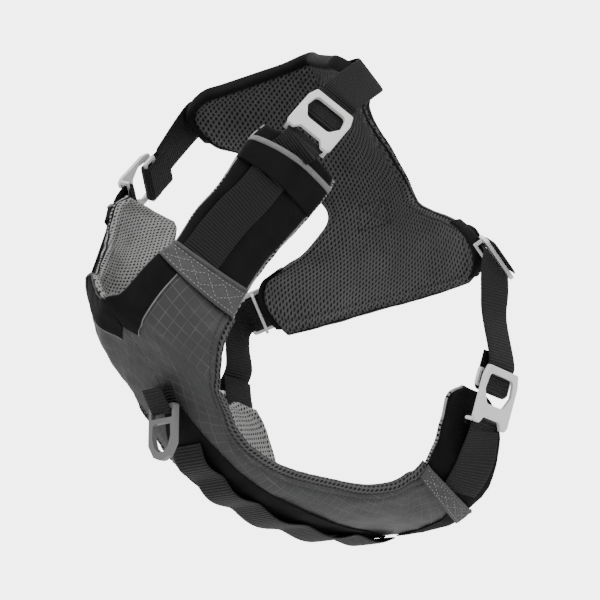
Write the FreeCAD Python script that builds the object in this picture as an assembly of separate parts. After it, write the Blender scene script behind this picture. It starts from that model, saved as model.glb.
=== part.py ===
import FreeCAD, Part
import os
import math

# Dog harness in its worn shape. Row frame, mm: +X is the dog's left, -Y is forward, +Z is up.
# The origin lies inside the barrel of the chest, on the plane of symmetry.

# Webbing and hardware sizes.
WEB = 24.0            # width of the main webbing
WEB_T = 1.6           # thickness of the main webbing
TAB = 16.0            # width of the two ring tabs
TAB_T = 1.2           # thickness of the ring tabs
TURN = 0.75           # air between a bar and the webbing that turns round it
SEAM = 0.12           # half the gap left on the centre line between the chest sides
PLATE_W = 31.0        # buckle plate, across the strap
PLATE_L = 35.0        # buckle plate, along the strap
PLATE_T = 2.4         # buckle plate thickness
WINDOW_W = 24.0       # window of the buckle plate, across the strap
WINDOW_L = 18.0       # window of the buckle plate, along the strap
NEST_W = 29.2         # nesting ring behind the plate, across the strap
NEST_L = 11.0         # nesting ring, along the strap
BAR = 2.0             # square bars of the nesting ring and of the bridges
RING_W = 21.5         # leash ring width
RING_H = 32.0         # leash ring height
RING_T = 3.6          # leash ring thickness

# Layers of the padded parts, measured outward from the design surface.
SHELL = (-1.2, 0.0)
CORE = (-3.4, -1.4)
LINING = (-6.4, -3.9)
PAD = (-3.2, 0.0)
OVERLAY = (0.2, 1.1)
BACK_LINING = (0.0, 2.6)
BACK_CORE = (2.8, 5.2)
BACK_OUTER = (5.4, 6.6)

# Back panel: rows from the withers to the loin.
# Each row is centre, edge, bulge and left-right lift of the edge.
BACK = [
    ((0, -22, 152), (56, -57, 128), (0, 0, -1), -3),
    ((0, -17, 146), (67, -57, 121), (0, 1, 0), -4),
    ((0, -11, 139), (71, -53, 114), (0, 4, 2), -4),
    ((0, -4, 131), (66, -44, 107), (0, 7, 4), -2),
    ((0, 3, 122), (56, -35, 103), (0, 9, 5), 0),
    ((0, 12, 112), (47, -17, 97), (0, 7, 4), 0),
    ((0, 23, 98), (40, 8, 88), (0, 4, 2), 0),
    ((0, 33, 84), (36, 27, 77), (0, 2, 2), 0),
    ((0, 40, 71), (36, 35, 68), (0, 1, 1), 0),
    ((0, 43, 59), (44, 34, 58), (0, 2, 0), 1),
    ((0, 44, 48), (58, 32, 48), (0, 3, 0), 3),
    ((0, 44, 38), (75, 30, 40), (0, 4, 0), 2),
    ((0, 44, 28), (87, 28, 31), (0, 4, -1), 0),
    ((0, 43, 18), (91, 31, 19), (0, 3, 0), 0),
    ((0, 42, 9), (86, 36, 8), (0, 2, 0), 2),
    ((0, 41, 2), (77, 39, 0), (0, 1, 0), 4),
]

# Chest side: rows from the shoulder tip, down the chest, back along the sternum and up to the belly tip.
# Each row is outer edge (neck, centre line, rear), leg edge, bulge, lifts of the two edges.
SIDE = [
    ((60, -118, 65), (71, -72, 48), (4, 0, 2), 9, 0),
    ((59, -131, 53), (67, -73, 40), (5, -1, 1), 8, 0),
    ((50, -144, 27), (59, -86, 20), (5, -2, 0), 7, 0),
    ((41, -154, 13), (51, -102, -1), (5, -3, -1), 5, 0),
    ((35, -164, -4), (47, -118, -23), (4, -4, -2), 3, 0),
    ((29, -171, -10), (44, -128, -42), (4, -5, -3), 1, 0),
    ((20, -176, -19), (42, -134, -56), (4, -5, -3), 0, 0),
    ((9, -180, -30), (37, -132, -68), (4, -5, -3), 0, 0),
    ((0, -184, -33), (33, -129, -78), None, 0, 0),
    ((0, -170, -46), (32, -128, -82), None, 0, 0),
    ((0, -150, -64.5), (31, -124, -87), None, 0, 0),
    ((0, -134.5, -82), (30, -119, -93), None, 0, 0),
    ((0, -123.5, -100), (30, -114, -102), None, 0, 0),
    ((0, -111.5, -114.5), (30, -103, -111), None, 0, 0),
    ((0, -95, -126), (31, -87, -118), None, 0, 0),
    ((0, -72, -135), (33, -68, -123), None, 0, 0),
    ((0, -42, -142), (38, -41, -126), None, 0, 0),
    ((0, -8, -145), (44, -17, -128), None, 0, 0),
    ((0, 24, -144), (51, -2, -126), None, 0, 0),
    ((0, 48, -143), (56, 4, -123), None, 0, 0),
    ((26, 53, -142), (60, 6, -120), (3, 0, -5), 0, 0),
    ((50, 55, -138), (64, 8, -117), (4, 0, -5), -1, -1),
    ((64, 55, -131), (70, 9, -110), (4, 0, -4), -2, -2),
    ((78, 53, -123), (77, 7, -101), (4, 0, -3), -3, -3),
    ((88, 50, -113), (84, 4, -93), (4, 0, -2), -4, -4),
    ((95, 48, -99), (90, 2, -81), (3, 0, -1), -5, -5),
    ((98, 46, -85), (94, 2, -69), (2, 0, 0), -6, -7),
    ((99, 39, -69), (97, 5, -63), (1, 0, 0), -7, -7),
    ((98, 30, -60), (98, 14, -58), (0, 0, 0), -8, -8),
]


def vec(p):
    return FreeCAD.Vector(p[0], p[1], p[2])


def unit(p):
    return vec(p).normalize()


def spline(values, u):
    """Smooth curve through a list of equal-length tuples, at row number u."""
    last = len(values) - 1
    i = min(int(u), last - 1)
    t = u - i
    b = values[i]
    c = values[i + 1]
    a = values[i - 1] if i > 0 else [2 * m - n for m, n in zip(b, c)]
    d = values[i + 2] if i + 2 <= last else [2 * n - m for m, n in zip(b, c)]
    return [0.5 * (2 * q + (r - p) * t + (2 * p - 5 * q + 4 * r - s) * t * t
                   + (3 * q - p - 3 * r + s) * t ** 3) for p, q, r, s in zip(a, b, c, d)]


def centre_bulge(rows, i):
    """Bulge that lets the two sides meet without a crease on the centre line at row i."""
    outer, inner = rows[i][0], rows[i][1]
    first = rows[i - 1][0] if rows[i - 1][0][0] == 0 else outer
    last = rows[i + 1][0] if rows[i + 1][0][0] == 0 else outer
    ty, tz = last[1] - first[1], last[2] - first[2]
    dy, dz = inner[1] - outer[1], inner[2] - outer[2]
    along = (dy * ty + dz * tz) / (ty * ty + tz * tz)
    return (0.12 * inner[0], (along * ty - dy) / 4.0, (along * tz - dz) / 4.0)


def flat_rows(rows):
    """Rows as flat tuples: outer point, inner point, bulge and the two lifts."""
    out = []
    for i, row in enumerate(rows):
        bulge = row[2] if row[2] is not None else centre_bulge(rows, i)
        lifts = row[3:] if len(row) == 5 else (0.0, row[3])
        out.append(tuple(row[0]) + tuple(row[1]) + tuple(bulge) + tuple(lifts))
    return out


SIDE_ROWS = flat_rows(SIDE)
BACK_ROWS = flat_rows(BACK)


def surface(rows, u, v, sign):
    """Point of the design surface; v runs from the outer edge (0) to the inner edge (1)."""
    r = spline(rows, u)
    bow = 4.0 * v * (1.0 - v)
    x = max(r[0] + (r[3] - r[0]) * v + r[6] * bow, SEAM if rows is SIDE_ROWS else 0.0)
    y = r[1] + (r[4] - r[1]) * v + r[7] * bow
    z = r[2] + (r[5] - r[2]) * v + r[8] * bow
    return FreeCAD.Vector(sign * x, y, z + sign * (r[9] + (r[10] - r[9]) * v))


def outward(rows, u, v, sign):
    """Unit normal of the design surface, away from the dog."""
    last = len(rows) - 1
    u0, u1 = max(u - 0.4, 0.0), min(u + 0.4, last)
    v0, v1 = max(v - 0.1, 0.0), min(v + 0.1, 1.0)
    along = surface(rows, u1, v, sign) - surface(rows, u0, v, sign)
    across = surface(rows, u, v1, sign) - surface(rows, u, v0, sign)
    n = along.cross(across) * sign
    if rows is BACK_ROWS:
        n = n * -1.0
    if v < 0.01 and surface(rows, u, 0.0, 1).x < 2 * SEAM:
        n.x = 0.0
    return n.normalize()


def at(rows, u, v, sign, n):
    """Point at height n above the design surface."""
    return surface(rows, u, v, sign) + outward(rows, u, v, sign) * n


def steps(a, b, count):
    return [a + (b - a) * i / (count - 1.0) for i in range(count)]


def ruled(p, q):
    return Part.makeRuledSurface(p, q)


def close(faces):
    """Solid from the faces that enclose it."""
    shell = Part.makeShell(faces)
    shell.sewShape()
    solid = Part.makeSolid(Part.Shell(shell.Faces))
    if solid.Volume < 0:
        solid.reverse()
    return solid


def clamped(count, degree):
    """Knots and multiplicities of a clamped uniform spline with count poles."""
    spans = count - degree
    mults = [degree + 1] + [1] * (spans - 1) + [degree + 1]
    return [float(k) for k in range(spans + 1)], mults


def skin(poles):
    """Spline face with a grid of poles; a side of two poles is straight."""
    du = min(3, len(poles) - 1)
    dv = min(3, len(poles[0]) - 1)
    uk, um = clamped(len(poles), du)
    vk, vm = clamped(len(poles[0]), dv)
    face = Part.BSplineSurface()
    face.buildFromPolesMultsKnots(poles, um, vm, uk, vk, False, False, du, dv)
    return face.toShape()


def slab(low, high):
    """Solid between two point grids of the same shape."""
    faces = [skin(low), skin(high)]
    for row in (0, -1):
        faces.append(skin([low[row], high[row]]))
        faces.append(skin([[r[row] for r in low], [r[row] for r in high]]))
    return close(faces)


def panel(rows, sign, us, across, layer):
    """Layer of a padded part; across(u) gives the v range used at row u."""
    grids = []
    for height in layer:
        grid = []
        for u in us:
            v0, v1 = across(u)
            grid.append([at(rows, u, v, sign, height) for v in steps(v0, v1, 8)])
        grids.append(grid)
    return slab(grids[0], grids[1])


def reach_for(rows, u, width):
    """The v at which the surface is the given distance from the centre line."""
    low, high = 0.0, 1.0
    middle = surface(rows, u, 0.0, 1)
    for _ in range(20):
        v = (low + high) / 2.0
        if (surface(rows, u, v, 1) - middle).Length < width:
            low = v
        else:
            high = v
    return low


def bridge(rows, us, reach, layer):
    """Layer that spans both sides of the centre line, reach(u) wide on each side."""
    grids = []
    for height in layer:
        grid = []
        for u in us:
            side = [at(rows, u, v, 1, height) for v in steps(0.0, reach(u), 8)]
            other = [at(rows, u, v, -1, height) for v in steps(0.0, reach(u), 8)]
            grid.append(other[:0:-1] + side)
        grids.append(grid)
    return slab(grids[0], grids[1])


def beam(sections):
    """Solid through four-cornered sections, all listed in the same order."""
    middle = [(s[0] + s[1] + s[2] + s[3]) * 0.25 for s in sections]
    knots = [0.0]
    for p, q in zip(middle, middle[1:]):
        knots.append(knots[-1] + (q - p).Length)
    curves = []
    for k in range(4):
        curve = Part.BSplineCurve()
        curve.interpolate(Points=[s[k] for s in sections], Parameters=knots)
        curves.append(curve)
    faces = []
    for p, q in zip(curves, curves[1:] + curves[:1]):
        skin = Part.BSplineSurface()
        skin.buildFromPolesMultsKnots([p.getPoles(), q.getPoles()], [2, 2], p.getMultiplicities(),
                                      [0.0, 1.0], p.getKnots(), False, False, 1, p.Degree)
        faces.append(skin.toShape())
    for s in (sections[0], sections[-1]):
        faces.append(ruled(Part.makeLine(s[0], s[1]), Part.makeLine(s[3], s[2])))
    return close(faces)


def strap(path, width, thick):
    """Flat webbing along a path of (point, across, outward) stations."""
    sections = []
    for p, w, n in path:
        a = w * (width / 2.0)
        b = n * (thick / 2.0)
        sections.append([p - a - b, p + a - b, p + a + b, p - a + b])
    return beam(sections)


def frames(points, widths):
    """Stations through points, with the width directions made square to the path."""
    out = []
    for i, p in enumerate(points):
        ahead = points[min(i + 1, len(points) - 1)] - points[max(i - 1, 0)]
        ahead = ahead.normalize()
        w = widths[i] - ahead * widths[i].dot(ahead)
        w = w.normalize()
        out.append((p, w, w.cross(ahead)))
    return out


def lying(rows, sign, stations, along_u):
    """Points and width directions of webbing that lies on a panel; stations are (u, v, height)."""
    points, widths = [], []
    for u, v, height in stations:
        points.append(at(rows, u, v, sign, height))
        if along_u:
            w = surface(rows, u, v + 0.15, sign) - surface(rows, u, v - 0.15, sign)
        else:
            w = surface(rows, u + 0.7, v, sign) - surface(rows, u - 0.7, v, sign)
        widths.append(w.normalize())
    return points, widths


class Seat:
    """Local frame of a buckle: s runs down the strap, w across it, n outward."""

    def __init__(self, centre, down, across, sign, lift):
        self.o = FreeCAD.Vector(sign * centre[0], centre[1], centre[2] + sign * lift)
        self.s = FreeCAD.Vector(sign * down[0], down[1], down[2]).normalize()
        w = FreeCAD.Vector(sign * across[0], across[1], across[2])
        self.w = (w - self.s * w.dot(self.s)).normalize()
        self.n = self.s.cross(self.w) * sign

    def point(self, s, n, w=0.0):
        return self.o + self.w * w + self.s * s + self.n * n

    def station(self, s, n, angle=90.0):
        """Strap station at (s, n); angle turns its outward side from n (90) about w."""
        a = math.radians(angle)
        return (self.point(s, n), self.w, self.s * math.cos(a) + self.n * math.sin(a))

    def hook(self, s, n, stop):
        """Half turn of webbing round a bar at (s, n), from its front to its back."""
        r = BAR / 2.0 + TURN + WEB_T / 2.0
        out = []
        for k in range(9):
            angle = 90.0 + (stop - 90.0) * k / 8.0
            a = math.radians(angle)
            out.append(self.station(s + r * math.cos(a), n + r * math.sin(a), angle))
        return out

    def place(self, shape):
        """Move a shape drawn with x across, y down the strap and z outward."""
        x = self.s.cross(self.n)
        m = FreeCAD.Matrix(x.x, self.s.x, self.n.x, self.o.x, x.y, self.s.y, self.n.y, self.o.y,
                           x.z, self.s.z, self.n.z, self.o.z, 0, 0, 0, 1)
        return shape.transformed(m)


SHOULDER = ((77.5, -89.0, 76.0), (-0.01, -0.67, -0.74), (0.45, 0.66, -0.60), 3.0)
BELLY = ((110.6, 24.5, -62.0), (-0.245, -0.124, -0.96), (0.0, 0.99, -0.13), -8.0)
REAR = ((99.7, 37.4, 14.8), (0.70, -0.586, -0.386), (0.16, 0.67, -0.73), 0.0)
NEST_N = -BAR / 2.0 - TURN - WEB_T - 0.5  # depth of the bars that the webbing loops round
FRONT_N = NEST_N + BAR / 2.0 + TURN + WEB_T / 2.0
BACK_N = NEST_N - BAR / 2.0 - TURN - WEB_T / 2.0
PLATE_N = 0.7         # back face of the buckle plate above the seat
BRIDGE_S = 20.0       # bridge of the buckle plate, which is also its hinge line
SHOULDER_RUN = ((2.2, 0.2, 7.8), (2.2, 0.4, 7.8), (2.1, 0.6, 7.9), (2.0, 0.78, 8.4), (1.9, 0.92, 9.4),
                (1.9, 1.0, 9.9))
SHOULDER_LEAD = ((3.8, 0.34, 1.9), (3.4, 0.34, 1.5), (2.7, 0.34, 1.6), (2.1, 0.35, 2.3), (1.7, 0.36, 3.9),
                 (1.35, 0.37, 5.4), (1.0, 0.38, 6.9))
GIRTH_RUN = ((10.6, 0.35, 9.5), (11.0, 0.52, 9.8), (11.5, 0.68, 10.9), (12.0, 0.82, 11.9))
BELLY_LEAD = ((22.6, 0.48, 2.6), (23.1, 0.48, 2.8), (23.6, 0.48, 3.0), (24.1, 0.48, 3.6), (24.6, 0.5, 5.2))
SLIDER_L = 18.0       # rear slider, along the strap
SLIDER_N = 2.1        # back face of the rear slider above the strap's middle


def seat(spec, sign):
    return Seat(spec[0], spec[1], spec[2], sign, spec[3])


def prism(points, low, high, radius):
    """Prism with its upright corners rounded."""
    wire = Part.makePolygon([FreeCAD.Vector(x, y, low) for x, y in points + points[:1]])
    solid = Part.Face(wire).extrude(FreeCAD.Vector(0, 0, high - low))
    upright = [e for e in solid.Edges if abs(e.BoundBox.ZLength - (high - low)) < 1e-6]
    return solid.makeFillet(radius, upright)


def rim(solid, height, radius):
    """Round the edges that lie at one height."""
    flat = [e for e in solid.Edges if e.BoundBox.ZLength < 1e-6 and abs(e.BoundBox.ZMin - height) < 1e-6]
    return solid.makeFillet(radius, flat)


def box(x0, x1, y0, y1, z0, z1):
    return Part.makeBox(x1 - x0, y1 - y0, z1 - z0, FreeCAD.Vector(x0, y0, z0))


def posts_and_bar(s, low, top):
    """Bridge behind a plate: a bar across the strap on two posts."""
    r = BAR / 2.0
    bar = Part.makeCylinder(r, 29.2, FreeCAD.Vector(-14.6, s, low + r), FreeCAD.Vector(1, 0, 0))
    for side in (-1, 1):
        x0 = 12.6 if side > 0 else -14.6
        bar = bar.fuse(box(x0, x0 + 2.0, s - r, s + r, low + r, top))
    return bar


def buckle_plate():
    """Cover plate with one window, a scooped finger edge and a bridge behind it."""
    h = PLATE_W / 2.0
    outline = [(-h + 2.2, -13.5), (h - 2.2, -13.5), (h, -6.0), (h, 18.5), (h - 1.8, 21.5), (h - 5.5, 21.5),
               (h - 8.3, 17.2), (8.3 - h, 17.2), (5.5 - h, 21.5), (1.8 - h, 21.5), (-h, 18.5), (-h, -6.0)]
    w = WINDOW_W / 2.0
    e = WINDOW_L / 2.0
    opening = [(-w + 1.5, -e), (w - 1.5, -e), (w, 1.0), (w - 4.5, e), (4.5 - w, e), (-w, 1.0)]
    plate = prism(outline, PLATE_N, PLATE_N + PLATE_T, 1.6)
    plate = plate.cut(prism(opening, PLATE_N - 1, PLATE_N + PLATE_T + 1, 3.2))
    plate = rim(plate, PLATE_N + PLATE_T, 0.7)
    low = NEST_N - BAR / 2.0
    return plate.fuse(posts_and_bar(BRIDGE_S, low, PLATE_N + 0.4)).removeSplitter()


def nest_ring():
    """Small rectangular ring that nests behind the plate and carries the upper strap."""
    low = NEST_N - BAR / 2.0
    outer = prism([(-NEST_W / 2, -NEST_L), (NEST_W / 2, -NEST_L), (NEST_W / 2, 0), (-NEST_W / 2, 0)],
                  low, low + BAR, 1.4)
    return outer.cut(box(-12.6, 12.6, -NEST_L + BAR, -BAR, low - 1, low + BAR + 1))


def slider():
    """Ladder-type adjuster: a frame over the strap and a bar behind it."""
    h = 30.5 / 2.0
    e = SLIDER_L / 2.0
    frame = prism([(-h, -e), (h, -e), (h, e), (-h, e)], SLIDER_N, SLIDER_N + PLATE_T, 2.5)
    frame = frame.cut(prism([(-12.3, -e + 3), (12.3, -e + 3), (12.3, e - 3), (-12.3, e - 3)],
                            SLIDER_N - 1, SLIDER_N + PLATE_T + 1, 1.5))
    frame = rim(frame, SLIDER_N + PLATE_T, 0.6)
    return frame.fuse(posts_and_bar(0.0, -SLIDER_N - BAR, SLIDER_N + 0.4)).removeSplitter()


def leash_ring():
    """Flat ring in the XZ plane, hung from the middle of its top bar at the origin."""
    h = RING_W / 2.0
    top = 1.4
    low = top - RING_H
    body = prism([(-h, top), (h, top), (h, low + 9), (h - 4.5, low + 2.0), (h - 9.5, low), (9.5 - h, low),
                  (4.5 - h, low + 2.0), (-h, low + 9)], -RING_T / 2.0, RING_T / 2.0, 1.5)
    slot = box(-h + 2.2, h - 2.2, -6.6, -1.4, -5, 5)
    eye = prism([(-7.2, -9.4), (7.2, -9.4), (7.6, -17.0), (5.6, -23.0), (2.0, -25.8), (-2.0, -25.8),
                 (-5.6, -23.0), (-7.6, -17.0)], -5, 5, 1.4)
    body = body.cut(slot).cut(eye)
    body.rotate(FreeCAD.Vector(0, 0, 0), FreeCAD.Vector(1, 0, 0), 90)
    return body


def whole(u):
    """Full width of a chest side."""
    return 0.004, 1.0


def inset(u):
    """Width of the padding, which stops short of both bound edges."""
    return 0.03, 0.95


def collar(u):
    """Width of the rolled collar, from the neck edge to its seam."""
    return 0.004, spline([(0.27,), (0.26,), (0.26,), (0.29,), (0.14,)], u - 5.0)[0]


def strip_reach(u):
    """Half width of the centre panel, which is pointed at both ends."""
    return spline([(r,) for r in (0.10, 0.34, 0.50, 0.52, 0.50, 0.44, 0.32, 0.18, 0.06)], u - 11.0)[0]


def chest_nodes(sign):
    """Shell, padding, lining and pads of one side of the chest."""
    out = {}
    out["chest_shell"] = panel(SIDE_ROWS, sign, steps(4.95, 21.95, 40), whole, SHELL)
    out["chest_padding"] = panel(SIDE_ROWS, sign, steps(4.95, 21.95, 40), inset, CORE)
    out["chest_lining"] = panel(SIDE_ROWS, sign, steps(0.1, 27.9, 64), whole, LINING)
    out["shoulder_pad"] = panel(SIDE_ROWS, sign, steps(0.0, 4.85, 14), whole, PAD)
    out["belly_pad"] = panel(SIDE_ROWS, sign, steps(22.05, 28.0, 16), whole, PAD)
    out["shoulder_band"] = panel(SIDE_ROWS, sign, steps(4.1, 5.0, 5), whole, (2.0, 3.0))
    out["belly_band"] = panel(SIDE_ROWS, sign, steps(21.2, 22.1, 5), whole, (2.0, 3.0))
    out["shoulder_sleeve"] = panel(SIDE_ROWS, sign, steps(1.1, 1.5, 5), whole, (0.4, 1.4))
    out["sleeve_piping"] = panel(SIDE_ROWS, sign, steps(0.92, 1.05, 4), whole, (0.4, 2.6))
    out["neck_collar"] = panel(SIDE_ROWS, sign, steps(5.05, 9.0, 14), collar, OVERLAY)
    return out


def shoulder_nodes(sign):
    """Strap from the back panel to the shoulder buckle, and webbing from there to the chest."""
    k = seat(SHOULDER, sign)
    points, widths = lying(BACK_ROWS, sign, SHOULDER_RUN, False)
    points += [k.point(s, n) for s, n in ((-26, 0.5), (-19, FRONT_N), (-12, FRONT_N), (-5, FRONT_N))]
    widths[-1] = widths[-1] * 0.5 + k.w * 0.5
    path = [(p, w, n * -sign) for p, w, n in frames(points, widths + [k.w] * 4)]
    path += k.hook(-BAR / 2.0, NEST_N, -90.0) + [k.station(s, BACK_N, -90) for s in (-8, -15, -22)]
    out = {"shoulder_strap": strap(path, WEB, WEB_T)}
    points, widths = lying(SIDE_ROWS, sign, SHOULDER_LEAD, True)
    points += [k.point(26, FRONT_N), k.point(23, FRONT_N)]
    path = [(p, w, n * sign) for p, w, n in frames(points, widths + [k.w, k.w])]
    path += k.hook(BRIDGE_S, NEST_N, 270.0) + [k.station(23, BACK_N, 270)]
    out["shoulder_webbing"] = strap(path, WEB, WEB_T)
    out["shoulder_nest_ring"] = k.place(nest_ring())
    out["shoulder_buckle"] = k.place(buckle_plate())
    return out


def girth_nodes(sign):
    """Strap from the back panel through the rear slider to the belly buckle, and the belly webbing."""
    r = seat(REAR, sign)
    k = seat(BELLY, sign)
    points, widths = lying(BACK_ROWS, sign, GIRTH_RUN, False)
    hang = [(109.5, 27.5, 3.0), (109.5, 27.0, -9.0), (108.5, 27.5, -24.0)]
    hang = [FreeCAD.Vector(sign * x, y, z) for x, y, z in hang]
    points += [r.point(s, 0) for s in (-14, -9, -4, 1, 6, 11)] + hang
    points += [k.point(s, FRONT_N) for s in (-19, -12, -5)]
    widths += [r.w] * 6 + [r.w * 0.6 + k.w * 0.4, r.w * 0.3 + k.w * 0.7] + [k.w] * 4
    path = [(p, w, n * -sign) for p, w, n in frames(points, widths)]
    path += k.hook(-BAR / 2.0, NEST_N, -90.0) + [k.station(s, BACK_N, -90) for s in (-8, -15, -22)]
    out = {"girth_strap": strap(path, WEB, WEB_T)}
    tail = [r.station(s, SLIDER_N + PLATE_T + 1.2) for s in (-9, -3, 3, 9, 14)]
    out["girth_tail"] = strap(tail, WEB, WEB_T)
    points, widths = lying(SIDE_ROWS, sign, BELLY_LEAD, True)
    points += [k.point(26, FRONT_N), k.point(23, FRONT_N)]
    widths = [w * -1.0 for w in widths] + [k.w, k.w]
    path = [(p, w, n * sign) for p, w, n in frames(points, widths)]
    path += k.hook(BRIDGE_S, NEST_N, 270.0) + [k.station(23, BACK_N, 270)]
    out["belly_webbing"] = strap(path, WEB, WEB_T)
    out["belly_nest_ring"] = k.place(nest_ring())
    out["belly_buckle"] = k.place(buckle_plate())
    out["rear_slider"] = r.place(slider())
    return out


def back_nodes():
    """Back panel with its binding, handle, spine webbing and leash ring."""
    us = steps(0.25, 15.0, 46)
    out = {}
    out["back_lining"] = bridge(BACK_ROWS, us, lambda u: 1.0, BACK_LINING)
    out["back_padding"] = bridge(BACK_ROWS, us, lambda u: 0.95, BACK_CORE)
    out["back_outer"] = bridge(BACK_ROWS, us, lambda u: 1.0, BACK_OUTER)
    front = []
    for sign in (-1, 1):
        side = []
        for u, v in ((3.0, 1.0), (2.4, 1.0), (1.8, 1.0), (1.2, 1.0), (0.6, 1.0), (0.0, 0.97), (0.0, 0.8),
                     (0.0, 0.6), (0.0, 0.4), (0.0, 0.2)):
            p = surface(BACK_ROWS, u, v, sign)
            n = outward(BACK_ROWS, u, v, sign)
            inner = surface(BACK_ROWS, u + 1.0, v * 0.85, sign)
            t = p - inner
            t = (t - n * t.dot(n)).normalize()
            side.append((p, t, n))
        front.append(side)
    p = surface(BACK_ROWS, 0.0, 0.0, 1)
    n = outward(BACK_ROWS, 0.0, 0.0, 1)
    middle = [(p, (p - surface(BACK_ROWS, 1.0, 0.0, 1)).normalize(), n)]
    path = front[0] + middle + front[1][::-1]
    sections = []
    for p, t, n in path:
        near = p + t * 0.4
        far = p + t * 3.4
        sections.append([near - n * 0.8, far + n * 0.6, far + n * 6.0, near + n * 7.4])
    out["neck_binding"] = beam(sections)
    out["spine_webbing"] = bridge(BACK_ROWS, steps(1.0, 14.0, 30),
                                  lambda u: reach_for(BACK_ROWS, u, WEB / 2.0), (6.8, 8.4))
    return out


def handle():
    """Grab handle: a webbing loop sewn down at both ends on the spine webbing."""
    points = []
    for u, n in ((1.4, 9.6), (2.2, 9.6), (2.9, 11.5), (3.8, 17.0), (5.0, 19.5), (6.2, 19.0), (7.2, 15.5),
                 (7.9, 11.5), (8.4, 9.6), (9.0, 9.6)):
        p = at(BACK_ROWS, u, 0.0, 1, n)
        points.append(FreeCAD.Vector(0, p.y, p.z))
    path = frames(points, [FreeCAD.Vector(1, 0, 0)] * len(points))
    return strap(path, WEB, WEB_T)


def tab_loop(pivot, away, up):
    """Ring tab in the YZ plane: two layers joined by a half turn round the ring's top bar."""
    r = 2.65 + TAB_T / 2.0
    x = FreeCAD.Vector(1, 0, 0)
    path = [(pivot + away * r + up * s, x, away) for s in (13.0, 8.0, 4.0)]
    for k in range(9):
        a = math.radians(90.0 - 180.0 * k / 8.0)
        out = away * math.sin(a) - up * math.cos(a)
        path.append((pivot + out * r, x, out))
    path += [(pivot - away * r + up * s, x, away * -1.0) for s in (4.0, 8.0, 11.0)]
    return strap(path, TAB, TAB_T)


CHEST_PIVOT = FreeCAD.Vector(0, -138.2, -88)
CHEST_UP = FreeCAD.Vector(0, -0.55, 0.835)
CHEST_AWAY = FreeCAD.Vector(0, -0.835, -0.55)
BACK_PIVOT = FreeCAD.Vector(0, 57.5, 44)
BACK_UP = FreeCAD.Vector(0, 0.0, 1.0)
BACK_AWAY = FreeCAD.Vector(0, 1.0, 0.0)


def centre_nodes():
    """Parts on the centre line of the chest, and the two leash rings."""
    out = {}
    out["centre_strip"] = bridge(SIDE_ROWS, steps(11.0, 19.0, 26), strip_reach, OVERLAY)
    out["sternum_webbing"] = bridge(SIDE_ROWS, steps(12.4, 18.9, 24),
                                    lambda u: reach_for(SIDE_ROWS, u, WEB / 2.0), (1.3, 2.9))
    out["grab_handle"] = handle()
    out["chest_ring_tab"] = tab_loop(CHEST_PIVOT, CHEST_AWAY, CHEST_UP)
    out["back_ring_tab"] = tab_loop(BACK_PIVOT, BACK_AWAY, BACK_UP)
    for name, pivot in (("chest_ring", CHEST_PIVOT), ("back_ring", BACK_PIVOT)):
        ring = leash_ring()
        ring.translate(pivot)
        out[name] = ring
    return out


def main():
    os.makedirs("parts", exist_ok=True)
    nodes = dict(back_nodes())
    nodes.update(centre_nodes())
    for sign, side in ((1, "left"), (-1, "right")):
        for group in (chest_nodes(sign), shoulder_nodes(sign), girth_nodes(sign)):
            for name, shape in group.items():
                nodes[name + "_" + side] = shape
    for name, shape in nodes.items():
        print(name, len(shape.Solids), shape.isValid(), round(shape.Volume), shape.BoundBox)
        shape.exportStep("parts/" + name + ".step")


main()
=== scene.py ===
import bmesh
import bpy
import math
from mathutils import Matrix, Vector, noise


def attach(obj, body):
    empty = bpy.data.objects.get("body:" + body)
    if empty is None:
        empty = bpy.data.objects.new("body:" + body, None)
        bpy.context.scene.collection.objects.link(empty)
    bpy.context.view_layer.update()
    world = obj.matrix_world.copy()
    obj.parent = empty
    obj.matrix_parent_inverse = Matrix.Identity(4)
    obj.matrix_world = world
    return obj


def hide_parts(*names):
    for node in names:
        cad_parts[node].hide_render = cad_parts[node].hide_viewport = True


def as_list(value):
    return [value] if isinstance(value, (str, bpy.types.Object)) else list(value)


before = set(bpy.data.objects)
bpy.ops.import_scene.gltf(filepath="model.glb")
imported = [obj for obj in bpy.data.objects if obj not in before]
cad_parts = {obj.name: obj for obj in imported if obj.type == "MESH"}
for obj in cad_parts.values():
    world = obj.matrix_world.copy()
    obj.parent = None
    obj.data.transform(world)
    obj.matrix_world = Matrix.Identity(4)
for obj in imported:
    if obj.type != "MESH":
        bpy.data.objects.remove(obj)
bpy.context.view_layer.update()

# Back panel, inner side. A sheet of knitted spacer mesh over foam lies on the dog's withers
# and back. It is cut in one piece, quilted along a seam near its edge, and its edges roll
# over the foam. All lengths here are in mm and become metres when a mesh is made.
MM = 0.001

# Rows from the withers to the loin: centre, edge, bulge and left-right lift of the edge.
BACK = [
    ((0, -22, 152), (56, -57, 128), (0, 0, -1), -3),
    ((0, -17, 146), (67, -57, 121), (0, 1, 0), -4),
    ((0, -11, 139), (71, -53, 114), (0, 4, 2), -4),
    ((0, -4, 131), (66, -44, 107), (0, 7, 4), -2),
    ((0, 3, 122), (56, -35, 103), (0, 9, 5), 0),
    ((0, 12, 112), (47, -17, 97), (0, 7, 4), 0),
    ((0, 23, 98), (40, 8, 88), (0, 4, 2), 0),
    ((0, 33, 84), (36, 27, 77), (0, 2, 2), 0),
    ((0, 40, 71), (36, 35, 68), (0, 1, 1), 0),
    ((0, 43, 59), (44, 34, 58), (0, 2, 0), 1),
    ((0, 44, 48), (58, 32, 48), (0, 3, 0), 3),
    ((0, 44, 38), (75, 30, 40), (0, 4, 0), 2),
    ((0, 44, 28), (87, 28, 31), (0, 4, -1), 0),
    ((0, 43, 18), (91, 31, 19), (0, 3, 0), 0),
    ((0, 42, 9), (86, 36, 8), (0, 2, 0), 2),
    ((0, 41, 2), (77, 39, 0), (0, 1, 0), 4),
]


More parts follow.
